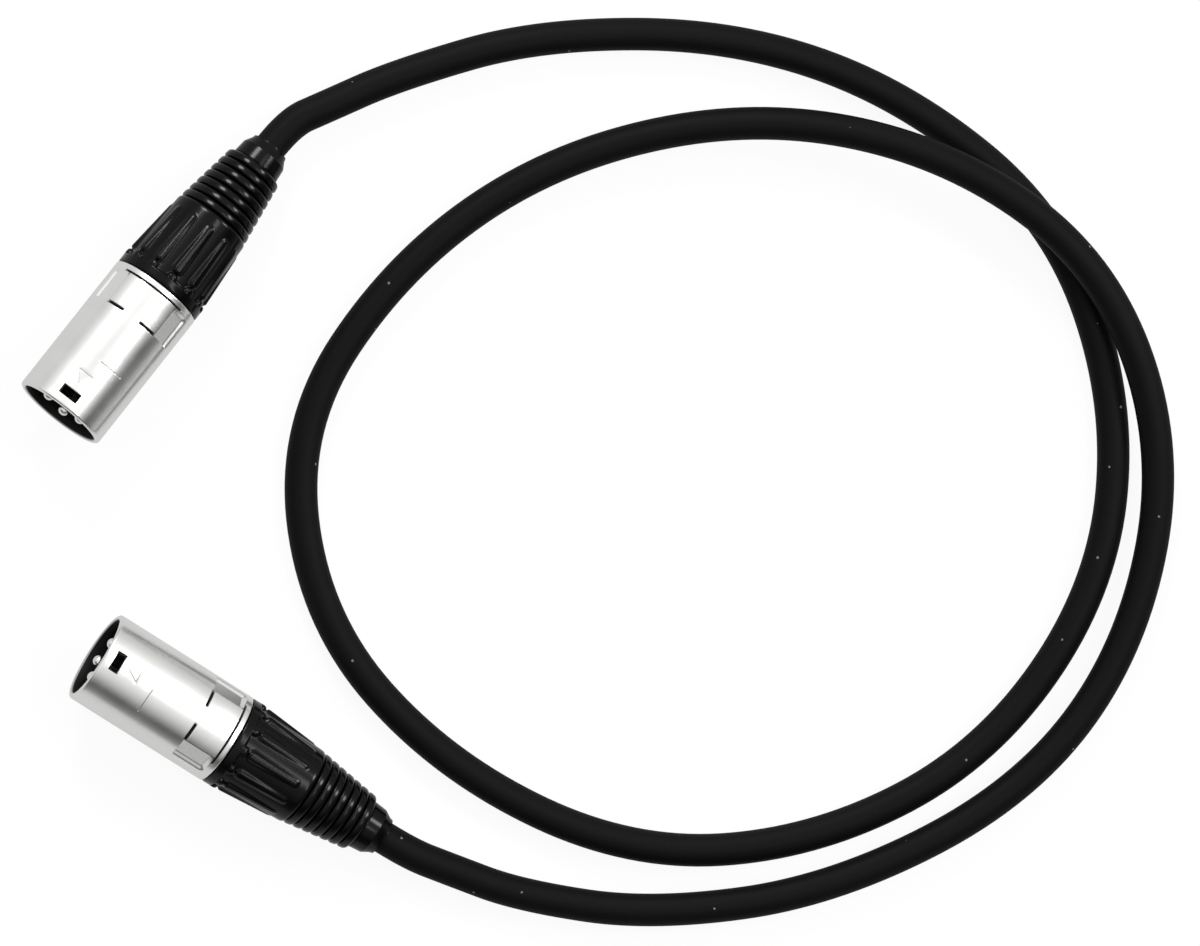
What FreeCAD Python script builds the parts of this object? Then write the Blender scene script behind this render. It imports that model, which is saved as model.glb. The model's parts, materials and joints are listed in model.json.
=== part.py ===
import FreeCAD, Part
import math
import os

# Microphone patch cable lying in about two loose turns, with a three-contact male plug on each end.
# Millimetres. The table is Z = 0, and the origin is on it, at the middle of the two plugs.
# Each plug is built in a frame of its own: X runs from the mouth to the cable along the axis,
# Z is the top, where the latch window is, and the mouth's rim is at X = 0.

Vector = FreeCAD.Vector

# How each plug lies: the middle of its mouth, and its heading from mouth to cable
PLUG_MOUTHS = {"a": Vector(-29.4, 15.7, 13.95), "b": Vector(-22.4, -31.5, 13.95)}
PLUG_HEADINGS = {"a": 51.45, "b": -32.05}
PLUG_FALL = 7.0          # degrees down towards the cable: it rests on the boot's collar and ridges
PLUG_ROLL = -6.5         # degrees that the window is turned from straight up

# Shell, a nickel plated zinc casting
SHELL_RADIUS = 9.5
SHELL_LENGTH = 30.8
CAVITY_RADIUS = 8.3
CAVITY_DEPTH = 12.6
LIP_RADIUS = 7.75
SEAT_START = 13.4
SEAT_RADIUS = 8.0
THREAD_START = 25.6
THREAD_RADIUS = 8.2
THREAD_CLEARANCE = 0.1
PLATE_START = 22.2       # the name plate is level with the shell, between two shallow flats
PLATE_END = 29.3
PLATE_HALF_ANGLE = 36.0
FLAT_ANGLES = (52.0, 66.0)    # the way each flat faces, and where it ends, from the top
FLAT_DISTANCE = 8.7
GROOVE_WIDTH_BEHIND_PLATE = 0.35
GROOVE_HALF_ANGLE = 46.0
CUT_RADIUS = 8.7         # floor of the groove behind the plate and of the notches before it
NOTCH_ANGLES = (13.0, 37.0)
WINDOW_ALONG = 2.1
WINDOW_ACROSS = 4.2
WINDOW_MIDDLE = 2.9
KEY_SLOT_WIDTH = 2.2
KEY_RADIUS = 8.1

# Insert and contacts
INSERT_FACE = 12.0
INSERT_BACK = 19.5
INSERT_RADIUS = 7.9
NOSE_RADIUS = 7.65
CONTACT_CIRCLE = 3.81
CONTACT_RADIUS = 1.2
CONTACT_TIP = 0.7
CONTACT_ROOT_RADIUS = 1.5
CUP_RADIUS = 1.45
CUP_BORE = 1.0
CUP_FLOOR = 21.5
CUP_END = 25.5
CONTACT_ANGLES = {"1": -90.0, "2": 90.0, "3": 180.0}

# Earth spring: a strip in the insert's side, with a tab to contact 1 and a bump that meets the shell
SPRING_START = 14.2
SPRING_WIDTH = 2.8
SPRING_RADIUS = 7.3
SPRING_THICKNESS = 0.3
SPRING_ANGLE = -90.0
SPRING_BUMP = 0.9

# Chuck that clamps the jacket
CHUCK_START = 20.2
CHUCK_COLLAR_END = 23.0
CHUCK_COLLAR_RADIUS = 7.55
CHUCK_BODY_RADIUS = 7.0
CHUCK_HOLLOW_RADIUS = 6.0
CHUCK_HOLLOW_END = 29.0
CHUCK_THROAT_START = 31.0
CHUCK_END = 40.0
CHUCK_END_RADIUS = 5.35
JAW_SLOT = 1.0
JAW_SLOTS = 4
JAW_CLOCKING = 40.0      # degrees of the first slot from the top, clear of the keys
JAW_TEETH = 5

# Threaded bushing inside the boot
BUSHING_BODY_END = 34.0
BUSHING_END = 47.5
BUSHING_END_RADIUS = 6.5
CONE_GAP = 0.1
BUSHING_FLOOR = 43.5

# Rubber boot
BOOT_START = 31.0
BOOT_COLLAR_END = 34.3
BOOT_COLLAR_RADIUS = 9.45
BOOT_VALLEY_RADIUS = 8.7  # between the ridges, just behind the collar
BOOT_WAIST = 48.1
BOOT_WAIST_RADIUS = 8.08
BOOT_TAIL_RADIUS = 5.95
BOOT_TAIL_END = 62.7
BOOT_NECK_RADIUS = 4.8    # between the last rib and the band at the boot's end
BOOT_END = 67.4
BOOT_END_RADII = (5.1, 4.85)
BOOT_BORE = 3.5
BOOT_CLOCKING = 9.5      # degrees that a ridge stands round from the shell's top
RIDGES = 12
RIDGE_WIDTH = 2.3
RIDGE_START = 36.0
RIDGE_END = 46.4
RIDGE_START_RADIUS = 9.35
RIDGE_END_RADIUS = 8.35
NUB_RADIUS = 0.9
NUB_MIDDLE = 35.0
GROOVES = 8              # rings of the flexible tail, each between two ribs
GROOVE_FIRST = 49.05
GROOVE_PITCH = 1.91
GROOVE_WIDTH = 1.3       # at the ribs' crests; the floor is narrower
GROOVE_FLOOR = 0.4
GROOVE_DEPTH = 0.75

# Cable
CABLE_DIAMETER = 6.5
JACKET_END = 30.5        # where the jacket is stripped, inside the chuck
CORE_DIAMETER = 1.5
CORE_SPREAD = 1.4        # how far each core is from the axis where it leaves the jacket
SCREEN_DIAMETER = 1.3
ARC_SHARE = 0.45         # the part of a run that an arc may take at each of its ends

# The route of the free cable, from boot a to boot b, as points on the table chosen by eye
FREE_RUN = 5.0           # straight stretch behind each boot, on the plug's own axis
CABLE_ROUTE = [
    Vector(22.8, 75.9, 4.35),
    Vector(37.4, 82.5, 3.5),
    Vector(65.5, 90.8, 3.25),
    Vector(104.1, 90.9, 3.25),
    Vector(137.7, 79.5, 3.25),
    Vector(168.4, 54.9, 3.25),
    Vector(181.2, 18.4, 3.25),
    Vector(177.6, -18.2, 3.25),
    Vector(154.6, -51.2, 3.25),
    Vector(120.3, -68.7, 3.25),
    Vector(83.4, -71.0, 3.25),
    Vector(46.7, -53.3, 3.25),
    Vector(21.5, -25.0, 3.25),
    Vector(16.6, 13.4, 3.25),
    Vector(38.3, 45.9, 3.25),
    Vector(69.4, 67.0, 3.8),
    Vector(108.7, 75.2, 7.6),
    Vector(146.6, 67.3, 10.6),
    Vector(177.2, 45.1, 10.6),
    Vector(190.5, 8.7, 7.0),
    Vector(183.5, -30.1, 3.6),
    Vector(161.9, -58.8, 3.25),
    Vector(123.9, -78.0, 3.25),
    Vector(88.1, -82.8, 3.25),
    Vector(61.7, -78.8, 3.5),
    Vector(47.2, -73.3, 4.2),
]


def rounded_edges(points, radii, closed=False):
    """Straight runs joined by tangent arcs: each point is rounded by its radius, or is sharp at 0."""
    count = len(points)
    entries = []
    exits = []
    middles = []
    for i, point in enumerate(points):
        before = points[i - 1] - point
        after = points[(i + 1) % count] - point
        if radii[i] <= 0 or (not closed and i in (0, count - 1)):
            entries.append(point)
            exits.append(point)
            middles.append(None)
            continue
        before.normalize()
        after.normalize()
        half_turn = (math.pi - before.getAngle(after)) / 2
        reach = radii[i] * math.tan(half_turn)
        inwards = before + after
        inwards.normalize()
        entries.append(point + before * reach)
        exits.append(point + after * reach)
        middles.append(point + inwards * (radii[i] / math.cos(half_turn) - radii[i]))
    edges = []
    for i in range(count):
        if middles[i] is not None:
            edges.append(Part.Arc(entries[i], middles[i], exits[i]).toShape())
        if i < count - 1 or closed:
            start, end = exits[i], entries[(i + 1) % count]
            if start.distanceToPoint(end) > 1e-6:
                edges.append(Part.LineSegment(start, end).toShape())
    return edges


def turned(outline):
    """Solid of revolution about the plug's axis, from corners (along, radius) or (along, radius, rounding)."""
    points = [Vector(corner[0], 0, corner[1]) for corner in outline]
    radii = [corner[2] if len(corner) > 2 else 0 for corner in outline]
    face = Part.Face(Part.Wire(rounded_edges(points, radii, closed=True)))
    return face.revolve(Vector(0, 0, 0), Vector(1, 0, 0), 360)


def ring_sector(start, end, inner, outer, middle, half_angle):
    """Piece of a ring round the plug's axis; angles in degrees from the top, positive towards -Y."""
    corners = [Vector(start, 0, inner), Vector(end, 0, inner), Vector(end, 0, outer), Vector(start, 0, outer)]
    face = Part.Face(Part.makePolygon(corners + corners[:1]))
    face.rotate(Vector(0, 0, 0), Vector(1, 0, 0), middle - half_angle)
    return face.revolve(Vector(0, 0, 0), Vector(1, 0, 0), 2 * half_angle)


def rod(start, end, radius, offset=0.0, angle=0.0):
    """Round bar along the plug's axis, at an offset from it in the direction of the angle."""
    bar = Part.makeCylinder(radius, end - start, Vector(start, 0, offset), Vector(1, 0, 0))
    bar.rotate(Vector(0, 0, 0), Vector(1, 0, 0), angle)
    return bar


def radial_block(start, end, width, inner, outer, angle):
    """Straight-sided block that stands outwards from the axis at an angle."""
    block = Part.makeBox(end - start, width, outer - inner, Vector(start, -width / 2, inner))
    block.rotate(Vector(0, 0, 0), Vector(1, 0, 0), angle)
    return block


def radius_between(along, start, start_radius, end, end_radius):
    """Radius of a cone at a place along its axis."""
    return start_radius + (end_radius - start_radius) * (along - start) / (end - start)


def make_shell():
    body = turned([
        (0, SHELL_RADIUS, 0.55),
        (SHELL_LENGTH, SHELL_RADIUS, 0.25),
        (SHELL_LENGTH, THREAD_RADIUS),
        (THREAD_START, THREAD_RADIUS),
        (THREAD_START, SEAT_RADIUS),
        (SEAT_START, SEAT_RADIUS),
        (SEAT_START, LIP_RADIUS),
        (CAVITY_DEPTH, LIP_RADIUS),
        (CAVITY_DEPTH, CAVITY_RADIUS),
        (0.35, CAVITY_RADIUS),
        (0, CAVITY_RADIUS + 0.35, 0.1),
    ])
    groove = ring_sector(
        PLATE_END, PLATE_END + GROOVE_WIDTH_BEHIND_PLATE, CUT_RADIUS, SHELL_RADIUS + 1, 0, GROOVE_HALF_ANGLE
    )
    notch_middle = sum(NOTCH_ANGLES) / 2
    notch_half = (NOTCH_ANGLES[1] - NOTCH_ANGLES[0]) / 2
    notches = [
        ring_sector(PLATE_START - 0.1, PLATE_START + 0.3, CUT_RADIUS, SHELL_RADIUS + 1, side * notch_middle, notch_half)
        for side in (-1, 1)
    ]
    window = radial_block(
        WINDOW_MIDDLE - WINDOW_ALONG / 2, WINDOW_MIDDLE + WINDOW_ALONG / 2, WINDOW_ACROSS, 5, SHELL_RADIUS + 1, 0
    )
    key_slots = [
        radial_block(SEAT_START, THREAD_START, KEY_SLOT_WIDTH, LIP_RADIUS - 1, THREAD_RADIUS, angle)
        for angle in (-90, 90, 180)
    ]
    flats = [flat_beside_plate(side) for side in (-1, 1)]
    return body.cut([groove, window] + notches + key_slots + flats).removeSplitter()


def flat_beside_plate(side):
    """Cutter for the shallow flat on one side of the plate: a flat floor between two walls."""
    facing, outer_angle = FLAT_ANGLES
    middle = (PLATE_HALF_ANGLE + outer_angle) / 2
    half = (outer_angle - PLATE_HALF_ANGLE) / 2
    sector = ring_sector(PLATE_START, PLATE_END, FLAT_DISTANCE - 0.5, SHELL_RADIUS + 1, side * middle, half)
    above = radial_block(PLATE_START - 1, PLATE_END + 1, 12, FLAT_DISTANCE, SHELL_RADIUS + 3, side * facing)
    return sector.common(above)


def make_insert():
    body = turned([
        (INSERT_FACE, 0),
        (INSERT_FACE, NOSE_RADIUS, 0.2),
        (SEAT_START, NOSE_RADIUS),
        (SEAT_START, INSERT_RADIUS),
        (INSERT_BACK, INSERT_RADIUS, 0.3),
        (INSERT_BACK, 0),
    ])
    key = radial_block(SEAT_START, INSERT_BACK - 1, KEY_SLOT_WIDTH - 0.3, NOSE_RADIUS - 1, KEY_RADIUS, 180)
    spring_seat = radial_block(SPRING_START, INSERT_BACK + 1, SPRING_WIDTH + 0.4, SPRING_RADIUS, 10, SPRING_ANGLE)
    contact_holes = [
        rod(INSERT_FACE - 1, INSERT_BACK + 1, CONTACT_ROOT_RADIUS, CONTACT_CIRCLE, angle)
        for angle in CONTACT_ANGLES.values()
    ]
    return body.fuse(key).cut([spring_seat] + contact_holes).removeSplitter()


def make_earth_spring():
    strip = radial_block(
        SPRING_START + 0.2, INSERT_BACK + SPRING_THICKNESS, SPRING_WIDTH,
        SPRING_RADIUS, SPRING_RADIUS + SPRING_THICKNESS, SPRING_ANGLE
    )
    tab = radial_block(
        INSERT_BACK, INSERT_BACK + SPRING_THICKNESS, SPRING_WIDTH,
        CONTACT_CIRCLE + CUP_RADIUS, SPRING_RADIUS + SPRING_THICKNESS, SPRING_ANGLE
    )
    bump_height = SEAT_RADIUS - 0.02 - SPRING_BUMP
    bump = Part.makeSphere(SPRING_BUMP, Vector((SPRING_START + INSERT_BACK) / 2, 0, bump_height))
    bump.rotate(Vector(0, 0, 0), Vector(1, 0, 0), SPRING_ANGLE)
    under = radial_block(0, SHELL_LENGTH, 9, 0, SPRING_RADIUS + SPRING_THICKNESS / 2, SPRING_ANGLE)
    return strip.fuse([tab, bump.cut(under)]).removeSplitter()


def make_contact(angle):
    outline = turned([
        (CONTACT_TIP, 0),
        (CONTACT_TIP, CONTACT_RADIUS, CONTACT_RADIUS * 0.98),
        (INSERT_FACE, CONTACT_RADIUS),
        (INSERT_FACE, CONTACT_ROOT_RADIUS),
        (INSERT_BACK, CONTACT_ROOT_RADIUS),
        (INSERT_BACK, CUP_RADIUS),
        (CUP_END, CUP_RADIUS),
        (CUP_END, CUP_BORE),
        (CUP_FLOOR, CUP_BORE),
        (CUP_FLOOR, 0),
    ])
    opening = Part.makeBox(CUP_END - CUP_FLOOR, 4, 2, Vector(CUP_FLOOR + 1.2, -2, 0.35))
    contact = outline.cut(opening)
    contact.translate(Vector(0, 0, CONTACT_CIRCLE))
    contact.rotate(Vector(0, 0, 0), Vector(1, 0, 0), angle)
    return contact


def make_solder():
    """Solder that fills the three cups, up to the edge of each opening."""
    fills = []
    for angle in CONTACT_ANGLES.values():
        fill = Part.makeCylinder(CUP_BORE, CUP_END - CUP_FLOOR, Vector(CUP_FLOOR, 0, 0), Vector(1, 0, 0))
        fill.translate(Vector(0, 0, CONTACT_CIRCLE))
        fill.rotate(Vector(0, 0, 0), Vector(1, 0, 0), angle)
        fills.append(fill)
    return Part.makeCompound(fills)


def make_core(angle, diameter):
    """One core, from the end of its solder cup to the end of the jacket, bent twice."""
    at_jacket = CORE_SPREAD
    points = [
        Vector(CUP_END, 0, CONTACT_CIRCLE),
        Vector(CUP_END + 1.2, 0, CONTACT_CIRCLE),
        Vector(JACKET_END - 1.2, 0, at_jacket),
        Vector(JACKET_END, 0, at_jacket),
    ]
    core = tube(points, [0, 1.8, 1.8, 0], diameter)
    core.rotate(Vector(0, 0, 0), Vector(1, 0, 0), angle)
    return core


def make_chuck():
    cone_start = THREAD_START
    body = turned([
        (CHUCK_START, CHUCK_HOLLOW_RADIUS),
        (CHUCK_START, CHUCK_COLLAR_RADIUS, 0.2),
        (CHUCK_COLLAR_END, CHUCK_COLLAR_RADIUS, 0.2),
        (CHUCK_COLLAR_END, CHUCK_BODY_RADIUS),
        (cone_start, CHUCK_BODY_RADIUS),
        (CHUCK_END, CHUCK_END_RADIUS, 0.3),
        (CHUCK_END, CABLE_DIAMETER / 2 + 0.1),
        (CHUCK_THROAT_START, CABLE_DIAMETER / 2 + 0.1),
        (CHUCK_HOLLOW_END, CHUCK_HOLLOW_RADIUS - 1.2),
        (CHUCK_HOLLOW_END - 1.5, CHUCK_HOLLOW_RADIUS),
    ])
    keys = [
        radial_block(CHUCK_START, CHUCK_COLLAR_END, KEY_SLOT_WIDTH - 0.4, CHUCK_HOLLOW_RADIUS + 0.5,
                     KEY_RADIUS - 0.1, angle)
        for angle in (-90, 90)
    ]
    slots = [
        radial_block(THREAD_START - 1, CHUCK_END + 1, JAW_SLOT, 0, 10, JAW_CLOCKING + 360 / JAW_SLOTS * i)
        for i in range(JAW_SLOTS)
    ]
    tooth_pitch = (CHUCK_END - CHUCK_THROAT_START) / JAW_TEETH
    throat = CABLE_DIAMETER / 2
    gullets = [
        turned([
            (CHUCK_THROAT_START + tooth_pitch * (i + 0.35), throat - 0.5),
            (CHUCK_THROAT_START + tooth_pitch * (i + 0.35), throat + 0.1),
            (CHUCK_THROAT_START + tooth_pitch * (i + 0.6), throat + 0.6),
            (CHUCK_THROAT_START + tooth_pitch * (i + 0.85), throat + 0.1),
            (CHUCK_THROAT_START + tooth_pitch * (i + 0.85), throat - 0.5),
        ])
        for i in range(JAW_TEETH)
    ]
    return body.fuse(keys).cut(slots + gullets).removeSplitter()


def make_bushing():
    cone_start_radius = CHUCK_BODY_RADIUS + CONE_GAP
    cone_end_radius = CHUCK_END_RADIUS + CONE_GAP
    outer = THREAD_RADIUS - THREAD_CLEARANCE
    return turned([
        (THREAD_START + 0.2, cone_start_radius),
        (THREAD_START + 0.2, outer - 0.4),
        (THREAD_START + 0.6, outer),
        (BUSHING_BODY_END, outer),
        (BUSHING_BODY_END, outer - 0.8),
        (BUSHING_END, BUSHING_END_RADIUS, 0.4),
        (BUSHING_END, BOOT_BORE),
        (BUSHING_FLOOR, BOOT_BORE),
        (BUSHING_FLOOR - 1.2, cone_end_radius - 0.2),
        (CHUCK_END, cone_end_radius),
    ])


def make_boot():
    outer = THREAD_RADIUS - THREAD_CLEARANCE
    body = turned([
        (BOOT_START, outer),
        (BOOT_START, BOOT_COLLAR_RADIUS, 0.35),
        (BOOT_COLLAR_END, BOOT_COLLAR_RADIUS, 0.25),
        (BOOT_COLLAR_END + 0.3, BOOT_VALLEY_RADIUS),
        (BOOT_WAIST, BOOT_WAIST_RADIUS),
    ] + tail_corners() + [
        (BOOT_TAIL_END, BOOT_NECK_RADIUS),
        (BOOT_TAIL_END, BOOT_END_RADII[0]),
        (BOOT_END - 2, BOOT_END_RADII[1], 0.5),
        (BOOT_END - 0.5, BOOT_BORE + 0.3),
        (BOOT_END, BOOT_BORE + 0.2),
        (BOOT_END, BOOT_BORE),
        (BUSHING_END, BOOT_BORE),
        (BUSHING_END, BUSHING_END_RADIUS, 0.4),
        (BUSHING_BODY_END, outer - 0.8),
        (BUSHING_BODY_END, outer),
    ])
    crests = turned([
        (RIDGE_START, BOOT_WAIST_RADIUS - 0.3),
        (RIDGE_START, RIDGE_START_RADIUS),
        (RIDGE_END, RIDGE_END_RADIUS),
        (RIDGE_END, BOOT_WAIST_RADIUS - 0.3),
    ])
    ridges = [ridge(crests, 360 / RIDGES * i) for i in range(RIDGES)]
    nub_height = BOOT_COLLAR_RADIUS - NUB_RADIUS
    nubs = []
    for i in range(RIDGES):
        nub = Part.makeSphere(NUB_RADIUS, Vector(NUB_MIDDLE, 0, nub_height))
        nub.rotate(Vector(0, 0, 0), Vector(1, 0, 0), 360 / RIDGES * i)
        nubs.append(nub)
    boot = body.fuse(ridges + nubs)
    boot.rotate(Vector(0, 0, 0), Vector(1, 0, 0), BOOT_CLOCKING)
    return boot


def tail_corners():
    """Outline of the boot's flexible tail: grooves with sloping walls between flat-topped ribs."""
    corners = []
    for i in range(GROOVES):
        middle = GROOVE_FIRST + GROOVE_PITCH * i
        for along, depth in (
            (middle - GROOVE_WIDTH / 2, 0),
            (middle - GROOVE_FLOOR / 2, GROOVE_DEPTH),
            (middle + GROOVE_FLOOR / 2, GROOVE_DEPTH),
            (middle + GROOVE_WIDTH / 2, 0),
        ):
            crest = radius_between(along, BOOT_WAIST, BOOT_WAIST_RADIUS, BOOT_TAIL_END, BOOT_TAIL_RADIUS)
            corners.append((along, crest - depth))
    return [corner for corner in corners if corner[0] < BOOT_TAIL_END - 0.3]


def ridge(crests, angle):
    """One grip ridge: a bar with round ends, as high as the crest line allows."""
    half = RIDGE_WIDTH / 2
    bar = Part.makeBox(RIDGE_END - RIDGE_START - RIDGE_WIDTH, RIDGE_WIDTH, 12, Vector(RIDGE_START + half, -half, 0))
    ends = [
        Part.makeCylinder(half, 12, Vector(along, 0, 0), Vector(0, 0, 1))
        for along in (RIDGE_START + half, RIDGE_END - half)
    ]
    piece = crests.common(bar.fuse(ends).removeSplitter())
    piece.rotate(Vector(0, 0, 0), Vector(1, 0, 0), angle)
    return piece


def tube(points, radii, diameter):
    """Round tube along straight runs joined by tangent arcs."""
    path = Part.Wire(rounded_edges(points, radii))
    along = points[1] - points[0]
    circle = Part.Wire(Part.makeCircle(diameter / 2, points[0], along))
    return path.makePipeShell([circle], True, False)


def route_radii(points):
    """Arc radius at each point of the route: as large as its two runs allow."""
    radii = [0]
    for before, point, after in zip(points, points[1:], points[2:]):
        shorter = min(point.distanceToPoint(before), after.distanceToPoint(point))
        turn = (point - before).getAngle(after - point)
        radii.append(ARC_SHARE * shorter / math.tan(turn / 2))
    radii.append(0)
    return radii


def plug_placement(end):
    turn = (
        FreeCAD.Rotation(Vector(0, 0, 1), PLUG_HEADINGS[end])
        .multiply(FreeCAD.Rotation(Vector(0, 1, 0), PLUG_FALL))
        .multiply(FreeCAD.Rotation(Vector(1, 0, 0), PLUG_ROLL))
    )
    return FreeCAD.Placement(PLUG_MOUTHS[end], turn)


def make_plug():
    """Every piece of one plug, in the plug's own frame."""
    pieces = {
        "shell": make_shell(),
        "insert": make_insert(),
        "earth_spring": make_earth_spring(),
        "solder_joints": make_solder(),
        "chuck": make_chuck(),
        "bushing": make_bushing(),
        "boot": make_boot(),
        "screen_tail": make_core(CONTACT_ANGLES["1"], SCREEN_DIAMETER),
        "hot_core": make_core(CONTACT_ANGLES["2"], CORE_DIAMETER),
        "cold_core": make_core(CONTACT_ANGLES["3"], CORE_DIAMETER),
        "cable_end": rod(JACKET_END, BOOT_END, CABLE_DIAMETER / 2),
    }
    for number, angle in CONTACT_ANGLES.items():
        pieces["contact_" + number] = make_contact(angle)
    return pieces


def make_cable():
    """The free cable between the two boots, and a line that says how its arcs and its volume come out."""
    ends = {}
    for end in PLUG_MOUTHS:
        place = plug_placement(end)
        ends[end] = [place.multVec(Vector(along, 0, 0)) for along in (BOOT_END, BOOT_END + FREE_RUN)]
    points = ends["a"] + CABLE_ROUTE + [ends["b"][1], ends["b"][0]]
    radii = route_radii(points)
    length = sum(edge.Length for edge in rounded_edges(points, radii))
    cable = tube(points, radii, CABLE_DIAMETER)
    section = math.pi * (CABLE_DIAMETER / 2) ** 2
    print("cable radii, mm:", [round(radius) for radius in radii[1:-1]])
    print("cable runs, mm:", [round(b.distanceToPoint(a), 1) for a, b in zip(points, points[1:])])
    print("cable length %.1f mm, volume over section x length %.4f" % (length, cable.Volume / (section * length)))
    return cable


os.makedirs("parts", exist_ok=True)
plug = make_plug()
for end in PLUG_MOUTHS:
    for name, shape in plug.items():
        placed = shape.copy()
        placed.Placement = plug_placement(end).multiply(placed.Placement)
        placed.exportStep("parts/%s_%s.step" % (name, end))
make_cable().exportStep("parts/cable_jacket.step")
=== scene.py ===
import json
import math

import bmesh
import bpy
import numpy as np
from mathutils import Matrix, Vector


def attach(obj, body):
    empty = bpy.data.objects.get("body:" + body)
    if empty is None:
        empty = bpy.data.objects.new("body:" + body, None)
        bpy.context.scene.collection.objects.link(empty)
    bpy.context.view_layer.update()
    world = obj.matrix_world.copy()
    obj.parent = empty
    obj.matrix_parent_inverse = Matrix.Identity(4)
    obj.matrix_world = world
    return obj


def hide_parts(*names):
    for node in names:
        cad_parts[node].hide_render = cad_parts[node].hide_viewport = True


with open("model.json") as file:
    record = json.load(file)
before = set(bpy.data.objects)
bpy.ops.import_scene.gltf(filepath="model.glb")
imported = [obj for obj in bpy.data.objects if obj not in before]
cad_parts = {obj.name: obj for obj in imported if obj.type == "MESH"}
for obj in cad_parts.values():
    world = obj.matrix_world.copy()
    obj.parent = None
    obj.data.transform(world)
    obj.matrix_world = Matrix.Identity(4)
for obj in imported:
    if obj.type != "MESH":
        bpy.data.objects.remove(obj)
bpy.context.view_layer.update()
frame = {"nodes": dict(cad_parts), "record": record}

# Free cable
# A microphone cable with a matte black plastic jacket, 6.5 mm thick, extruded over the screen. It runs
# from one boot to the other in two loose turns on the table, and crosses over itself in a long low hump.
MM = 0.001
CABLE_DIAMETER = 6.5 * MM
SHELL_MOUNT_PLACE = 11.0 * MM    # from the mouth to the place that the shell's mount names
BOOT_LENGTH_END = 67.4 * MM
STRAIGHT_EXIT = 6.5 * MM
cable_route = [
    (0.0228, 0.0759, 0.00435),
    (0.0374, 0.0825, 0.0035),
    (0.0655, 0.0908, 0.00325),
    (0.1041, 0.0909, 0.00325),
    (0.1377, 0.0795, 0.00325),
    (0.1684, 0.0549, 0.00325),
    (0.1812, 0.0184, 0.00325),
    (0.1776, -0.0182, 0.00325),
    (0.1546, -0.0512, 0.00325),
    (0.1203, -0.0687, 0.00325),
    (0.0834, -0.071, 0.00325),
    (0.0467, -0.0533, 0.00325),
    (0.0215, -0.025, 0.00325),
    (0.0166, 0.0134, 0.00325),
    (0.0383, 0.0459, 0.00325),
    (0.0694, 0.067, 0.0038),
    (0.1087, 0.0752, 0.0076),
    (0.1466, 0.0673, 0.0106),
    (0.1772, 0.0451, 0.0106),
    (0.1905, 0.0087, 0.007),
    (0.1835, -0.0301, 0.0036),
    (0.1619, -0.0588, 0.00325),
    (0.1239, -0.078, 0.00325),
    (0.0881, -0.0828, 0.00325),
    (0.0617, -0.0788, 0.0035),
    (0.0472, -0.0733, 0.0042),
]


class Signal:
    """An output of a node tree: arithmetic on it adds Math nodes, and node() adds any other kind."""

    def __init__(self, tree, socket=None):
        self.tree = tree
        self.socket = socket

    def node(self, kind, settings=(), inputs=(), output=0):
        made = self.tree.nodes.new(kind)
        for name, value in dict(settings).items():
            if name == "stops":
                ramp = made.color_ramp
                while len(ramp.elements) < len(value):
                    ramp.elements.new(1.0)
                for element, (place, shade) in zip(ramp.elements, value):
                    element.position = place
                    element.color = (shade, shade, shade, 1.0)
            else:
                setattr(made, name, value)
        for name, value in dict(inputs).items():
            if isinstance(value, Signal):
                self.tree.links.new(value.socket, made.inputs[name])
            else:
                made.inputs[name].default_value = value
        return Signal(self.tree, made.outputs[output])

    def math(self, operation, first, second=0.0):
        return self.node("ShaderNodeMath", {"operation": operation}, {0: first, 1: second})

    def __add__(self, other):
        return self.math("ADD", self, other)

    def __radd__(self, other):
        return self.math("ADD", other, self)

    def __mul__(self, other):
        return self.math("MULTIPLY", self, other)

    def __rmul__(self, other):
        return self.math("MULTIPLY", other, self)

    def __gt__(self, other):
        return self.math("GREATER_THAN", self, other)

    def __lt__(self, other):
        return self.math("LESS_THAN", self, other)

    def ramp(self, *stops):
        return self.node("ShaderNodeValToRGB", {"stops": stops}, {"Fac": self})

    def noise(self, place, scale, detail=3.0):
        return self.node("ShaderNodeTexNoise", (), {"Vector": place, "Scale": scale, "Detail": detail})

    def blend(self, first, second):
        """The first colour where this signal is 0, and the second where it is 1."""
        first = first if isinstance(first, Signal) else (*first, 1.0)
        second = second if isinstance(second, Signal) else (*second, 1.0)
        return self.node(
            "ShaderNodeMix", {"data_type": "RGBA"}, {"Factor": self, 6: first, 7: second}, output=2
        )

    def bump(self, height, distance, strength=1.0):
        return self.node(
            "ShaderNodeBump", (), {"Height": height, "Distance": distance, "Strength": strength}
        )


def finish_of(name, metallic=0.0, **levels):
    """A new material. Gives the material, its shader and a signal to start from."""
    material = bpy.data.materials.new(name)
    material.use_nodes = True
    tree = material.node_tree
    shader = tree.nodes["Principled BSDF"]
    shader.inputs["Metallic"].default_value = metallic
    for socket, value in levels.items():
        shader.inputs[socket.replace("_", " ")].default_value = value
    return material, shader, Signal(tree)


def feed(shader, **signals):
    """Links signals to the shader's sockets, such as Base_Color."""
    for socket, signal in signals.items():
        signal.tree.links.new(signal.socket, shader.inputs[socket.replace("_", " ")])


JACKET_DARKER = (0.0018, 0.0018, 0.0019)
JACKET_LIGHTER = (0.0036, 0.0036, 0.0038)
LINT_COLOUR = (0.32, 0.33, 0.33)
LINT_CELLS_PER_METRE = 420.0
LINT_SHARE_LEFT_OUT = 0.955
LINT_SIZE = 0.11    # as a share of a cell


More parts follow.
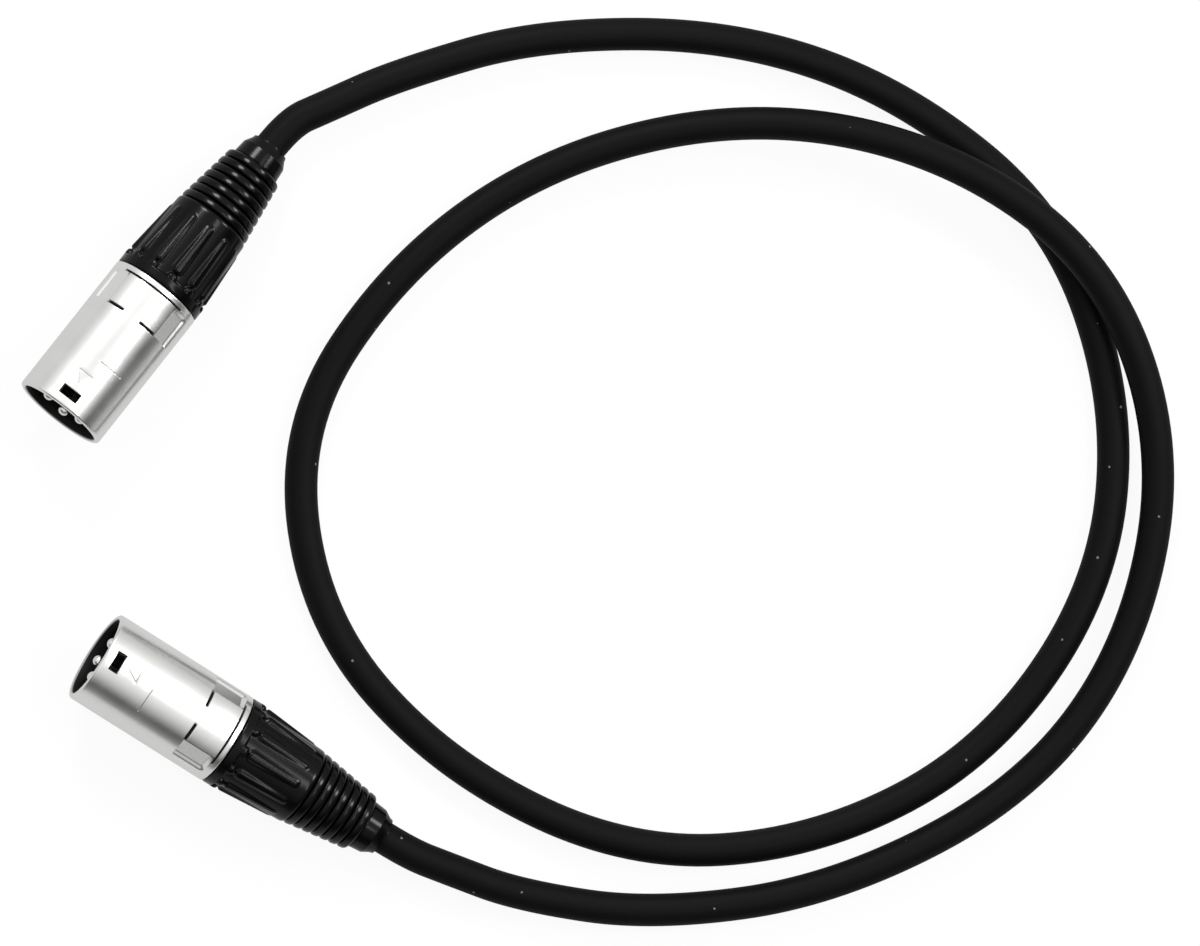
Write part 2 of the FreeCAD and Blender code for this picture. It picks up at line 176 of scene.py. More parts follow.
def matte_jacket():
    """Black plastic, a little uneven, with some lint on it."""
    material, shader, start = finish_of("matte_jacket", Specular_IOR_Level=0.08)
    place = start.node("ShaderNodeTexCoord", output="Object")
    cloud = start.noise(place, 45.0)
    grain = start.noise(place, 2600.0, 2.0)
    # lint: a few pale specks, each the middle of a cell that is picked by its random colour
    cells = {"Vector": place, "Scale": LINT_CELLS_PER_METRE}
    middle = start.node("ShaderNodeTexVoronoi", {"voronoi_dimensions": "3D"}, cells, "Distance")
    lot = start.node("ShaderNodeTexVoronoi", {"voronoi_dimensions": "3D"}, cells, "Color")
    chosen = start.node("ShaderNodeSeparateColor", (), {"Color": lot}) > LINT_SHARE_LEFT_OUT
    speck = (middle < LINT_SIZE) * chosen
    black = cloud.blend(JACKET_DARKER, JACKET_LIGHTER)
    feed(shader, Base_Color=(speck * 0.4).blend(black, LINT_COLOUR))
    feed(shader, Roughness=0.5 + cloud * 0.1 + grain * 0.06)
    feed(shader, Normal=start.bump(grain, 0.00006, 0.5))
    return material


mounts = {mount["name"]: mount for mount in frame["record"]["mounts"]}


def plug_place(end):
    """Where a plug lies. X is its axis, from the mouth to the cable, and Z is its top, with the window."""
    shell = mounts[f"plug_{end}_shell"]
    along = -Vector(shell["axis"])
    contacts = [Vector(mounts[f"plug_{end}_contact_{number}"]["pos_m"]) for number in (1, 2)]
    side = (contacts[0] - contacts[1]).normalized()
    turn = Matrix((along, side, along.cross(side))).transposed().to_4x4()
    return Matrix.Translation(Vector(shell["pos_m"]) - along * SHELL_MOUNT_PLACE) @ turn


places = {end: plug_place(end) for end in "ab"}
exits = {
    end: [place @ Vector((along, 0, 0)) for along in (BOOT_LENGTH_END, BOOT_LENGTH_END + STRAIGHT_EXIT)]
    for end, place in places.items()
}
line = bpy.data.curves.new("cable_jacket_line", "CURVE")
line.dimensions = "3D"
spline = line.splines.new("NURBS")
points = [*exits["a"], *cable_route, *reversed(exits["b"])]
spline.points.add(len(points) - 1)
for point, place in zip(spline.points, points):
    point.co = (*place, 1.0)
spline.order_u = 3
spline.use_endpoint_u = True
line.resolution_u = 16
line.bevel_depth = CABLE_DIAMETER / 2
line.bevel_resolution = 8
line.use_fill_caps = True
free_cable = bpy.data.objects.new("free_cable", line)
bpy.context.scene.collection.objects.link(free_cable)
line.materials.append(matte_jacket())
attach(free_cable, "cable")
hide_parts("cable_jacket")


def dress(kind, material):
    """Gives both plugs' pieces of one kind their material."""
    for end in "ab":
        node = frame["nodes"][f"{kind}_{end}"]
        node.data.materials.clear()
        node.data.materials.append(material)


# Insides of the plugs
# Three silver-plated contacts stand in a black plastic insert. Behind it are their solder cups, the two
# cores and the twisted screen, the earth spring, and the straight end of the jacket in the chuck's jaws.
TINT = 0.12


def plain_finish(name, colour, roughness, metallic=0.0, grain_scale=900.0):
    """A finish of one colour that is a little uneven in shade, in shine and in height."""
    material, shader, start = finish_of(name, metallic)
    place = start.node("ShaderNodeTexCoord", output="Object")
    cloud = start.noise(place, grain_scale / 8)
    grain = start.noise(place, grain_scale, 2.0)
    darker = [channel * (1 - TINT) for channel in colour]
    lighter = [min(1.0, channel * (1 + TINT)) for channel in colour]
    feed(shader, Base_Color=cloud.blend(darker, lighter))
    feed(shader, Roughness=(roughness - 0.06) + cloud * 0.12)
    feed(shader, Normal=start.bump(grain, 0.00002, 0.4))
    return material


silver = plain_finish("contact_silver", (0.84, 0.83, 0.80), 0.20, metallic=1.0)
for number in (1, 2, 3):
    dress(f"contact_{number}", silver)
dress("insert", plain_finish("insert_black", (0.010, 0.010, 0.011), 0.55))
dress("earth_spring", plain_finish("spring_bronze", (0.66, 0.48, 0.30), 0.30, metallic=1.0))
dress("solder_joints", plain_finish("solder", (0.56, 0.56, 0.54), 0.42, metallic=1.0))
copper = plain_finish("screen_copper", (0.70, 0.36, 0.22), 0.36, metallic=1.0, grain_scale=2400.0)
dress("screen_tail", copper)
dress("hot_core", plain_finish("core_red", (0.50, 0.02, 0.02), 0.42))
dress("cold_core", plain_finish("core_white", (0.74, 0.74, 0.71), 0.42))
dress("chuck", plain_finish("chuck_white", (0.68, 0.67, 0.63), 0.45))
dress("cable_end", line.materials[0])

# Shells
# The plug's nose and body are one zinc casting, plated with satin nickel. The window near the mouth takes
# the socket's latch. The bare plate on top lies between two flats, and a groove parts it from a plain ring.
SHELL_RADIUS = 9.5
SHELL_LENGTH = 30.8
MOUTH_ROUNDING = 0.55
REAR_ROUNDING = 0.25
CHAMFER = 0.35
CAVITY_RADIUS = 8.3
STOP_PLACES = (12.6, 13.4)
STOP_RADIUS = 7.75
CHAMBER_RADIUS = 8.0
THREAD_BORE = 8.2
THREAD_BORE_START = 25.6
WINDOW = (1.85, 3.95)
WINDOW_HALF_ANGLE = math.degrees(math.asin(2.1 / SHELL_RADIUS))
PLATE_START = 22.2
PLATE_END = 29.3
PLATE_HALF_ANGLE = 36.0
FLAT_FACING = 52.0
FLAT_OUTER_ANGLE = 66.0
FLAT_DISTANCE = 8.82
FLAT_CORNER = 1.2
FLAT_EDGE = (-1.0, 0.15)    # a long slope inside the flat's outline, and a short one outside it
GROOVE_END = 29.65
GROOVE_HALF_ANGLE = 46.0
CUT_RADIUS = 8.7
NOTCH_ANGLES = (13.0, 37.0)
ARROW_TIP = 5.2
ARROW_BASE = 7.9
ARROW_HALF_WIDTH = 1.55
ARROW_STROKE = (0.09, 0.22)    # from the stroke's middle to where its slope starts and ends
MOULD_LINE = 11.5
MOULD_LINE_ANGLES = (5.0, 37.0)
PLATE_EDGE_WIDTH = 1.6
ENGRAVING_DEPTH = 0.09
# how much painted shade the engraved lines get, as a share of the deep cuts' painted shade
ENGRAVING_SHADE = 0.45


def spread(*stretches):
    """Places along a line. Each stretch is (start, longest step), and the last one is only the end."""
    found = []
    for (first, step), (last, _) in zip(stretches, stretches[1:]):
        count = max(1, math.ceil((last - first) / step - 1e-6))
        found.extend(first + (last - first) * i / count for i in range(count))
    found.append(stretches[-1][0])
    return found


def rise(value, low, high):
    """0 below low, 1 above high, and a smooth rise between them."""
    share = np.clip((value - low) / (high - low), 0.0, 1.0)
    return share * share * (3 - 2 * share)


def band(value, low, high, edge):
    """1 between low and high, with soft edges."""
    return rise(value, low - edge, low + edge) * (1 - rise(value, high - edge, high + edge))


def distance_to_line(x, y, start, end):
    """How far spots are from the straight line between two ends."""
    run = np.subtract(end, start)
    share = np.clip(((x - start[0]) * run[0] + (y - start[1]) * run[1]) / (run @ run), 0, 1)
    return np.hypot(x - start[0] - share * run[0], y - start[1] - share * run[1])


def shell_cuts(along, angle):
    """How much of a spot lies in a deep cut, and how much in a shallow engraved line, from 0 to 1."""
    across = np.radians(angle) * SHELL_RADIUS
    side = np.abs(angle)
    groove = band(along, PLATE_END, GROOVE_END, 0.06)
    groove = groove * (1 - rise(side, GROOVE_HALF_ANGLE - 1, GROOVE_HALF_ANGLE))
    notch = band(along, PLATE_START - 0.15, PLATE_START + 0.4, 0.06) * band(side, *NOTCH_ANGLES, 0.5)
    edge = band(side, PLATE_HALF_ANGLE, PLATE_HALF_ANGLE + PLATE_EDGE_WIDTH, 0.3)
    edge = edge * band(along, PLATE_START, PLATE_END, 0.06)
    corners = [(ARROW_TIP, 0), (ARROW_BASE, ARROW_HALF_WIDTH), (ARROW_BASE, -ARROW_HALF_WIDTH)]
    edges = [distance_to_line(along, across, a, b) for a, b in zip(corners, corners[1:] + corners[:1])]
    arrow = 1 - rise(np.minimum.reduce(edges), *ARROW_STROKE)
    mould = band(along, MOULD_LINE - 0.08, MOULD_LINE + 0.08, 0.05) * band(angle, *MOULD_LINE_ANGLES, 1.0)
    return np.maximum.reduce([groove, notch, edge]), np.maximum(arrow, mould)


def shell_radius(along, angle):
    """How far the shell's outside is from the axis, in millimetres."""
    side = np.abs(angle)
    across = np.radians(angle) * SHELL_RADIUS
    past_side = np.abs(across) - math.radians(FLAT_OUTER_ANGLE) * SHELL_RADIUS + FLAT_CORNER
    past_end = along - PLATE_END + FLAT_CORNER
    outside = np.hypot(np.maximum(past_side, 0), np.maximum(past_end, 0))
    outside = outside + np.minimum(np.maximum(past_side, past_end), 0) - FLAT_CORNER
    flat = 1 - rise(outside, *FLAT_EDGE)
    flat = flat * rise(side, PLATE_HALF_ANGLE, PLATE_HALF_ANGLE + 0.8)
    flat = flat * rise(along, PLATE_START, PLATE_START + 0.12)
    flat_radius = FLAT_DISTANCE / np.cos(np.radians(side - FLAT_FACING))
    radius = SHELL_RADIUS - np.maximum(SHELL_RADIUS - flat_radius, 0) * flat
    deep, shallow = shell_cuts(along, angle)
    return radius - deep * np.maximum(radius - CUT_RADIUS, 0) - ENGRAVING_DEPTH * shallow


def skin_round_axis(section, angles):
    """Spots and faces of a skin round the plug's axis, in millimetres. The section is a loop of points
    (along, radius), and each may have an array of radii, one for every angle."""
    columns = len(angles)
    along = np.array([np.broadcast_to(point[0], columns) for point in section])
    radius = np.array([np.broadcast_to(point[1], columns) for point in section])
    turn = np.radians(angles)
    spots = np.stack([along, -radius * np.sin(turn), radius * np.cos(turn)], -1).reshape(-1, 3)
    last = columns if angles[-1] - angles[0] > 350 else columns - 1
    faces = {}
    for i in range(len(section)):
        row, after = i * columns, (i + 1) % len(section) * columns
        for j in range(last):
            beside = (j + 1) % columns
            faces[i, j] = (row + j, after + j, after + beside, row + beside)
    return spots, faces


def mesh_of(name, spots, faces, place=None, sharp_angle=50.0, grime=()):
    """A closed mesh in metres from spots in millimetres, with its faces outwards and its edges crisp."""
    mesh = bpy.data.meshes.new(name)
    mesh.from_pydata(spots * MM, [], list(faces))
    # painted shade: a darkness for each spot, kept on the mesh for its material to read
    if len(grime):
        mesh.attributes.new("grime", "FLOAT", "POINT").data.foreach_set("value", grime)
    shape = bmesh.new()
    shape.from_mesh(mesh)
    bmesh.ops.remove_doubles(shape, verts=shape.verts, dist=0.001 * MM)
    bmesh.ops.recalc_face_normals(shape, faces=shape.faces)
    shape.to_mesh(mesh)
    shape.free()
    mesh.shade_smooth()
    mesh.set_sharp_from_angle(angle=math.radians(sharp_angle))
    if place:
        mesh.transform(place)
    return mesh


def show(name, mesh, material, body, slot, *nodes):
    """Puts a finished mesh in the scene, on its body, in place of the nodes that it stands for."""
    piece = bpy.data.objects.new(name, mesh)
    bpy.context.scene.collection.objects.link(piece)
    mesh.materials.clear()
    mesh.materials.append(material)
    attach(piece, body)
    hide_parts(*nodes)
    return piece


def quarter(middle_along, middle_radius, size, first, last, count=5):
    """Points of a rounded corner, from one direction to another, in degrees from the plug's axis."""
    turns = [math.radians(first + (last - first) * i / count) for i in range(count + 1)]
    return [(middle_along + size * math.cos(t), middle_radius + size * math.sin(t)) for t in turns]


# rows and columns of the skin: each is (place, longest step up to the next), finer where an edge is
half_turn = [
    (WINDOW_HALF_ANGLE, 1.0), (PLATE_HALF_ANGLE - 1, 0.3), (PLATE_HALF_ANGLE + 2, 1.5),
    (GROOVE_HALF_ANGLE - 2, 0.4), (GROOVE_HALF_ANGLE + 1, 1.5), (FLAT_OUTER_ANGLE - 8, 0.5),
    (FLAT_OUTER_ANGLE + 1, 3.0),
]
other_half = [(-end, step) for (end, _), (_, step) in zip(reversed(half_turn), reversed(half_turn[:-1]))]
shell_angles = np.array(spread(
    (-180.0, 3.0), *other_half, (-WINDOW_HALF_ANGLE, 1.0), *half_turn, (180.0, 0)
)[:-1])
outside_places = spread(
    (MOUTH_ROUNDING, 0.4), (WINDOW[0], 0.3), (WINDOW[1], 0.4), (ARROW_TIP - 0.3, 0.13),
    (ARROW_BASE + 0.3, 0.7), (MOULD_LINE - 0.2, 0.06), (MOULD_LINE + 0.2, 0.9), (PLATE_START - 0.3, 0.05),
    (PLATE_START + 0.5, 0.35), (PLATE_END - 1.4, 0.1), (PLATE_END - 0.2, 0.04), (GROOVE_END + 0.1, 0.2),
    (SHELL_LENGTH - REAR_ROUNDING, 0),
)
inside_places = spread((STOP_PLACES[0], 1.4), (WINDOW[1], 0.3), (WINDOW[0], 0.5), (CHAMFER, 0))

outer_section = [(along, shell_radius(along, shell_angles)) for along in outside_places]
front_section = [(0.0, CAVITY_RADIUS + CHAMFER)] + quarter(
    MOUTH_ROUNDING, SHELL_RADIUS - MOUTH_ROUNDING, MOUTH_ROUNDING, 180, 90
)[:-1]
rear_section = quarter(
    SHELL_LENGTH - REAR_ROUNDING, SHELL_RADIUS - REAR_ROUNDING, REAR_ROUNDING, 90, 0, 4
)[1:]
bore_section = [
    (SHELL_LENGTH, THREAD_BORE), (THREAD_BORE_START, THREAD_BORE), (THREAD_BORE_START, CHAMBER_RADIUS),
    (STOP_PLACES[1], CHAMBER_RADIUS), (STOP_PLACES[1], STOP_RADIUS), (STOP_PLACES[0], STOP_RADIUS),
]
inner_section = [(along, CAVITY_RADIUS) for along in inside_places]
shell_section = front_section + outer_section + rear_section + bore_section + inner_section
spots, shell_faces = skin_round_axis(shell_section, shell_angles)


def row_of(along, after):
    """The row of the section's loop that is at a place along the axis, looked for after another row."""
    return next(i for i in range(after, len(shell_section)) if abs(shell_section[i][0] - along) < 1e-6)


window_columns = [j for j, angle in enumerate(shell_angles) if abs(angle) < WINDOW_HALF_ANGLE + 1e-6]
outer_rows = [row_of(WINDOW[0], 2), row_of(WINDOW[1], 2)]
inner_rows = [row_of(WINDOW[1], outer_rows[1] + 1), row_of(WINDOW[0], outer_rows[1] + 1)]
for first, last in (outer_rows, inner_rows):
    for i in range(first, last):
        for j in window_columns[:-1]:
            del shell_faces[i, j]
walls = []
columns = len(shell_angles)
for outer_row, inner_row in ((outer_rows[0], inner_rows[1]), (outer_rows[1], inner_rows[0])):
    outer, inner = outer_row * columns, inner_row * columns
    walls.extend((outer + j, outer + j + 1, inner + j + 1, inner + j) for j in window_columns[:-1])
for step in range(outer_rows[1] - outer_rows[0]):
    outer, inner = (outer_rows[0] + step) * columns, (inner_rows[1] - step) * columns
    for j in (window_columns[0], window_columns[-1]):
        walls.append((outer + j, outer + columns + j, inner - columns + j, inner + j))


NICKEL_DARKER = (0.83, 0.83, 0.81)
NICKEL_LIGHTER = (0.90, 0.895, 0.875)
# painted shade: the dark colour the nickel takes where the mesh is painted shaded
PAINTED_SHADE_COLOUR = (0.02, 0.02, 0.021)


def satin_nickel():
    """Plating on a fine casting, with painted shade: dark and dull where the mesh's painted shade attribute
    says so.
    """
    material, shader, start = finish_of("satin_nickel", 1.0)
    place = start.node("ShaderNodeTexCoord", output="Object")
    cloud = start.noise(place, 160.0)
    cast = start.noise(place, 700.0, 4.0)
    # painted shade from the mesh darkens the colour and dulls the shine
    grime = start.node("ShaderNodeAttribute", {"attribute_name": "grime"}, output="Fac")
    feed(shader, Base_Color=grime.blend(cloud.blend(NICKEL_DARKER, NICKEL_LIGHTER), PAINTED_SHADE_COLOUR))
    feed(shader, Roughness=0.17 + cloud * 0.12 + cast * 0.05 + grime * 0.4)
    feed(shader, Normal=start.bump(cast, 0.00003, 0.35))
    return material


# painted shade, how dark each spot is painted: the inside wholly, the deep cuts too, and the engraved lines
# about half
nickel = satin_nickel()
inside_start = len(front_section) + len(outer_section) + len(rear_section)
grime = np.zeros((len(shell_section), columns))
grime[inside_start:] = 1.0
for i, along in enumerate(outside_places, len(front_section)):
    deep, shallow = shell_cuts(along, shell_angles)
    grime[i] = np.maximum(deep, ENGRAVING_SHADE * shallow)
for end, place in places.items():
    faces = [*shell_faces.values(), *walls]
    mesh = mesh_of(f"shell_skin_{end}", spots, faces, place, grime=grime.ravel())
    show(f"nickel_shell_{end}", mesh, nickel, "cable", "satin_nickel", f"shell_{end}")

# Bushings
# The gland's hard core, moulded in black glass-filled plastic. Its one-millimetre thread screws into the
# shell, and the cone inside closes the chuck's jaws on the jacket. The boot is moulded on its rear half.
THREAD_START = 25.8
THREAD_END = 31.0
THREAD_RADIUS = 8.1
THREAD_DEPTH = 0.5
THREAD_PITCH = 1.0
CABLE_BORE = 3.5
BOOT_SEAT = [(34.0, 7.3), (47.1, 6.55), (47.5, 6.2), (47.5, CABLE_BORE)]    # the boot's inside too
CONE = [(43.5, CABLE_BORE), (42.3, 5.25), (40.0, 5.45)]


def thread_radius(along, angle):
    """Radius of the screw thread, with flat crests and roots and a fade at both ends."""
    phase = (along / THREAD_PITCH - angle / 360.0) % 1.0
    flank = np.abs(phase - 0.5) * 2
    ends = band(along, THREAD_START + 0.5, THREAD_END + 0.6, 0.4)
    return THREAD_RADIUS - THREAD_DEPTH * (1 - rise(flank, 0.15, 0.75)) * ends


thread_angles = np.arange(-180.0, 180.0, 4.0)
thread_places = spread((THREAD_START + 0.4, 0.11), (THREAD_END + 1.0, 1.5), (BOOT_SEAT[0][0], 0))
bushing_section = (
    [(THREAD_START, 7.1), (THREAD_START, 7.7)]
    + [(along, thread_radius(along, thread_angles)) for along in thread_places]
    + BOOT_SEAT
    + CONE
)
spots, faces = skin_round_axis(bushing_section, thread_angles)
hard_plastic = plain_finish("bushing_black", (0.018, 0.018, 0.019), 0.42)
for end, place in places.items():
    mesh = mesh_of(f"bushing_skin_{end}", spots, faces.values(), place)
    show(f"threaded_bushing_{end}", mesh, hard_plastic, f"gland_{end}", "bushing_black", f"bushing_{end}")

# Boots
# Soft black rubber, moulded on the bushing: a collar that meets the shell, a ring of nubs, twelve grip
# ridges, and a tapered tail of eight round ribs that bends with the cable and ends in a plain band.
BOOT_START = 31.0
COLLAR_END = 32.8
COLLAR_RADIUS = 9.45
VALLEY_RADIUS = 8.7
WAIST = 48.1
WAIST_RADIUS = 8.08
TAIL_END = 62.7
TAIL_RADIUS = 5.95
NECK_RADIUS = 4.9
BOOT_END = 67.4
END_RADII = (5.1, 4.85)
END_BEND = 65.2
RIDGES = 12
SECTOR = 360.0 / RIDGES
RIDGE_HALF_WIDTHS = (1.2, 0.85)
RIDGE_PLACES = (34.3, 46.4)
RIDGE_RADII = (9.35, 8.35)
RIDGE_ARC_RADIUS = 8.8
RIDGE_FLANK = (-0.7, 0.3)
NUB_PLACE = 33.3
NUB_WIDTH = 1.1
NUB_CURVE = 4.2
NUB_STAND = 0.05
NUB_EDGE = 0.6
RIBS = 8
GROOVE_FIRST = 49.05
GROOVE_PITCH = 1.91
GROOVE_DEPTH = 0.7
BOOT_CLOCKING = 9.5
SKIRT_RADIUS = 8.1
LIP_BORE = 3.65


def boot_radius(along, angle):
    """How far the boot's outside is from the axis, at an angle from the middle of a ridge."""
    bends = (COLLAR_END, COLLAR_END + 0.3, WAIST, TAIL_END)
    smooth = np.interp(along, bends, (COLLAR_RADIUS, VALLEY_RADIUS, WAIST_RADIUS, TAIL_RADIUS))
    radius = np.full_like(angle, smooth)
    across = np.radians(angle) * RIDGE_ARC_RADIUS
    crest = np.interp(along, RIDGE_PLACES, RIDGE_RADII)
    half_width = np.interp(along, RIDGE_PLACES, RIDGE_HALF_WIDTHS)
    beyond = max(RIDGE_PLACES[0] + half_width - along, along - RIDGE_PLACES[1] + half_width, 0)
    ridge = 1 - rise(np.hypot(across, beyond) - half_width, *RIDGE_FLANK)
    radius = radius + np.maximum(crest / np.cos(np.radians(angle)) - radius, 0) * ridge
    from_nub = np.hypot(across, along - NUB_PLACE)
    nub = COLLAR_RADIUS + NUB_STAND - from_nub ** 2 / (2 * NUB_CURVE)
    nub = nub - NUB_EDGE * (from_nub / NUB_WIDTH) ** 6
    radius = np.where(from_nub < NUB_WIDTH, np.maximum(radius, nub), radius)
    half_pitch = GROOVE_PITCH / 2
    from_crest = max(along - GROOVE_FIRST + half_pitch, 0)
    from_crest = half_pitch - abs(from_crest % GROOVE_PITCH - half_pitch)
    return radius - GROOVE_DEPTH * (from_crest / half_pitch) ** 4


def ring_of_sectors():
    """Node group: copies a sector all round the plug's axis, welds the copies and finishes the whole."""
    group = bpy.data.node_groups.new("ring_of_sectors", "GeometryNodeTree")
    inputs = {"Sector": "Geometry", "Count": "Int", "Weld": "Float", "Finish": "Material"}
    for name, kind in inputs.items():
        group.interface.new_socket(name, in_out="INPUT", socket_type="NodeSocket" + kind)
    group.interface.new_socket("Whole", in_out="OUTPUT", socket_type="NodeSocketGeometry")
    given = group.nodes.new("NodeGroupInput")
    sector, count, weld, finish = (Signal(group, given.outputs[i]) for i in range(4))
    start = Signal(group)
    points = start.node("GeometryNodeMeshLine", (), {"Count": count, "Offset": (0.0, 0.0, 0.0)})
    turn = start.node("GeometryNodeInputIndex") * math.tau * start.math("DIVIDE", 1.0, count)
    euler = start.node("ShaderNodeCombineXYZ", (), {"X": turn})
    rotation = start.node("FunctionNodeEulerToRotation", (), {"Euler": euler})
    copies = start.node(
        "GeometryNodeInstanceOnPoints", (), {"Points": points, "Instance": sector, "Rotation": rotation}
    )
    real = start.node("GeometryNodeRealizeInstances", (), {"Geometry": copies})
    welded = start.node("GeometryNodeMergeByDistance", (), {"Geometry": real, "Distance": weld})
    smooth = start.node("GeometryNodeSetShadeSmooth", (), {"Geometry": welded})
    done = start.node("GeometryNodeSetMaterial", (), {"Geometry": smooth, "Material": finish})
    group.links.new(done.socket, group.nodes.new("NodeGroupOutput").inputs[0])
    return group


def grown(mesh, group, **inputs):
    """The plain mesh that a node group makes of a mesh, with the group's inputs given by name."""
    holder = bpy.data.objects.new("holder", mesh)
    bpy.context.scene.collection.objects.link(holder)
    modifier = holder.modifiers.new("nodes", "NODES")
    modifier.node_group = group
    for item in group.interface.items_tree:
        if item.in_out == "INPUT" and item.name in inputs:
            modifier[item.identifier] = inputs[item.name]
    seen = holder.evaluated_get(bpy.context.evaluated_depsgraph_get())
    made = bpy.data.meshes.new_from_object(seen)
    bpy.data.objects.remove(holder)
    return made


RUBBER_DARKER = (0.0005, 0.0005, 0.0006)
RUBBER_LIGHTER = (0.0015, 0.0015, 0.0017)


def boot_rubber():
    """Black rubber with a soft shine."""
    material, shader, start = finish_of("boot_rubber", Specular_IOR_Level=0.16)
    place = start.node("ShaderNodeTexCoord", output="Object")
    cloud = start.noise(place, 120.0)
    grain = start.noise(place, 1800.0, 2.0)
    feed(shader, Base_Color=cloud.blend(RUBBER_DARKER, RUBBER_LIGHTER))
    feed(shader, Roughness=0.15 + cloud * 0.08)
    feed(shader, Normal=start.bump(grain, 0.00001, 0.4))
    return material


sector_angles = np.linspace(-SECTOR / 2, SECTOR / 2, 25)
last_groove = GROOVE_FIRST + GROOVE_PITCH * (RIBS - 1)
boot_places = spread(
    (BOOT_START + 0.35, 0.5), (NUB_PLACE - NUB_WIDTH - 0.1, 0.11), (RIDGE_PLACES[0] + 1.5, 0.4),
    (RIDGE_PLACES[1] - 1.4, 0.12), (RIDGE_PLACES[1] + 0.4, 0.4),
    (GROOVE_FIRST - GROOVE_PITCH / 2, GROOVE_PITCH / 16), (last_groove, 0),
)
boot_section = (
    quarter(BOOT_START + 0.35, COLLAR_RADIUS - 0.35, 0.35, 180, 90, 3)[:-1]
    + [(along, boot_radius(along, sector_angles)) for along in boot_places]
    + [(TAIL_END - 0.15, NECK_RADIUS), (TAIL_END - 0.05, NECK_RADIUS), (TAIL_END, END_RADII[0])]
    + quarter(END_BEND, END_RADII[1] - 0.45, 0.45, 87, 57, 3)
    + [(BOOT_END - 0.5, 3.95), (BOOT_END, 3.85), (BOOT_END, LIP_BORE), (BOOT_END - 3.0, CABLE_BORE)]
    + BOOT_SEAT[::-1]
    + [(BOOT_SEAT[0][0], SKIRT_RADIUS), (BOOT_START, SKIRT_RADIUS)]
)
spots, faces = skin_round_axis(boot_section, sector_angles)
sector = bpy.data.meshes.new("boot_sector")
sector.from_pydata(spots * MM, [], list(faces.values()))
rubber = boot_rubber()
whole = grown(sector, ring_of_sectors(), Count=RIDGES, Weld=0.002 * MM, Finish=rubber)
whole.set_sharp_from_angle(angle=math.radians(60.0))
for end, place in places.items():
    mesh = whole.copy()
    mesh.transform(place @ Matrix.Rotation(math.radians(BOOT_CLOCKING), 4, "X"))
    show(f"rubber_boot_{end}", mesh, rubber, f"gland_{end}", "boot_rubber", f"boot_{end}")

# Studio
# Not part of the object: a pale floor, a white surround and soft lamps, seen from almost straight above.
IMAGE_WIDTH = 1200
PIXELS_PER_METRE = 5070.0
CAMERA_DISTANCE = 2.0
SENSOR_WIDTH = 36.0
VIEW_TARGET = Vector((0.07796, 0.00437, 0.0))
VIEW_TILT_WEST = math.radians(6.0)
VIEW_TILT_SOUTH = math.radians(0.6)
FLOOR_HALF = 4.0
GLOW_SHARE = 0.92    # the rest of the floor is lit by the lamps, and has the object's shadow
GLOW_IN_METAL = 0.66
SKY_STRENGTH = 1.08
LAMP_DISTANCE = 1.6


def white_floor():
    """White to the camera, with a faint shadow, and a pale grey in the metal's reflections."""
    material, shader, start = finish_of("white_floor", Roughness=0.85, Specular_IOR_Level=0.2)
    shader.inputs["Base Color"].default_value = (0.9, 0.9, 0.9, 1.0)
    tree = material.node_tree
    rays = tree.nodes.new("ShaderNodeLightPath")
    by_camera = Signal(tree, rays.outputs["Is Camera Ray"])
    seen = by_camera + Signal(tree, rays.outputs["Is Glossy Ray"])
    strength = GLOW_IN_METAL + by_camera * (1 - GLOW_IN_METAL)
    glow = start.node("ShaderNodeEmission", (), {"Color": (1.0, 1.0, 1.0, 1.0), "Strength": strength})
    lit = Signal(tree, shader.outputs[0])
    mixed = start.node("ShaderNodeMixShader", (), {0: seen * GLOW_SHARE, 1: lit, 2: glow})
    tree.links.new(mixed.socket, tree.nodes["Material Output"].inputs["Surface"])
    return material


floor_mesh = bpy.data.meshes.new("floor")
corners = [(FLOOR_HALF * x, FLOOR_HALF * y, 0) for x, y in ((-1, -1), (1, -1), (1, 1), (-1, 1))]
floor_mesh.from_pydata(corners, [], [(0, 1, 2, 3)])
floor_mesh.materials.append(white_floor())
floor = bpy.data.objects.new("floor", floor_mesh)
bpy.context.scene.collection.objects.link(floor)

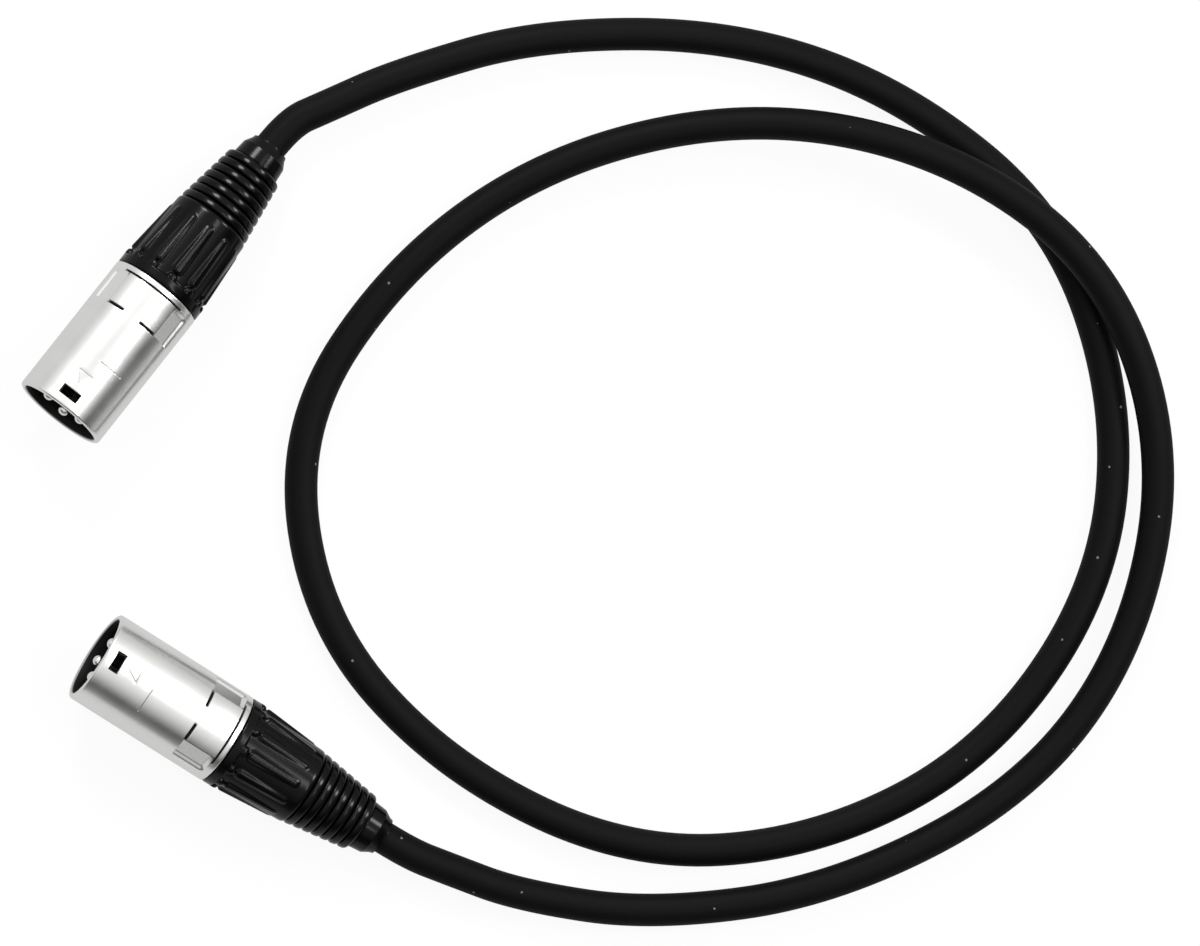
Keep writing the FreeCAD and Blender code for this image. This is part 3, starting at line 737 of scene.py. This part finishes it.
world = bpy.data.worlds.new("studio")
bpy.context.scene.world = world
world.use_nodes = True
tree = world.node_tree
start = Signal(tree)
direction = start.node("ShaderNodeTexCoord", output="Generated")
parts = start.node("ShaderNodeSeparateXYZ", (), {"Vector": direction})
parts_node = parts.socket.node
north = Signal(tree, parts_node.outputs["Y"])
up = Signal(tree, parts_node.outputs["Z"])
rays = Signal(tree, tree.nodes.new("ShaderNodeLightPath").outputs["Is Camera Ray"])
northern = up.ramp((0.0, 0.58), (0.2, 0.62), (0.45, 0.78), (0.64, 0.90), (0.8, 0.92), (1.0, 0.88))
southern = up.ramp(
    (0.0, 0.30), (0.2, 0.17), (0.46, 0.06), (0.64, 0.30), (0.8, 0.58), (0.91, 0.76), (1.0, 0.88)
)
sky = (0.5 + north * 0.5).ramp((0.42, 0.0), (0.58, 1.0)).blend(southern, northern)
shown = rays.blend(sky, (1 / SKY_STRENGTH,) * 3)
background = tree.nodes["Background"]
tree.links.new(shown.socket, background.inputs["Color"])
background.inputs["Strength"].default_value = SKY_STRENGTH


def soft_lamp(name, towards, width, length, radiance):
    """A lamp in one direction, as large as two angles in degrees say, with its length to the north."""
    spot = Vector(towards).normalized() * LAMP_DISTANCE
    lamp = bpy.data.lights.new(name, "AREA")
    lamp.shape = "RECTANGLE"
    lamp.size = 2 * LAMP_DISTANCE * math.tan(math.radians(width / 2))
    lamp.size_y = 2 * LAMP_DISTANCE * math.tan(math.radians(length / 2))
    lamp.energy = radiance * math.pi * lamp.size * lamp.size_y
    made = bpy.data.objects.new(name, lamp)
    back = spot.normalized()
    across = Vector((0, 1, 0)).cross(back).normalized()
    turn = Matrix((across, back.cross(across), back)).transposed().to_4x4()
    made.matrix_world = Matrix.Translation(spot) @ turn
    bpy.context.scene.collection.objects.link(made)


soft_lamp("north_lamp", (-0.13, 0.78, 0.61), 15, 15, 22.0)
soft_lamp("east_lamp", (0.75, 0.18, 0.63), 12, 12, 20.0)
soft_lamp("high_lamp", (0.41, -0.01, 0.87), 7, 38, 8.0)

backwards = Vector((-math.tan(VIEW_TILT_WEST), -math.tan(VIEW_TILT_SOUTH), 1.0)).normalized()
upwards = (Vector((0, 1, 0)) - backwards * backwards.y).normalized()
camera_data = bpy.data.cameras.new("camera")
camera_data.sensor_width = SENSOR_WIDTH
camera_data.lens = PIXELS_PER_METRE * CAMERA_DISTANCE / IMAGE_WIDTH * SENSOR_WIDTH
camera = bpy.data.objects.new("camera", camera_data)
bpy.context.scene.collection.objects.link(camera)
camera.matrix_world = Matrix.Translation(VIEW_TARGET + backwards * CAMERA_DISTANCE) @ Matrix(
    (upwards.cross(backwards), upwards, backwards)
).transposed().to_4x4()
bpy.context.scene.camera = camera
bpy.context.scene.view_settings.view_transform = "Standard"
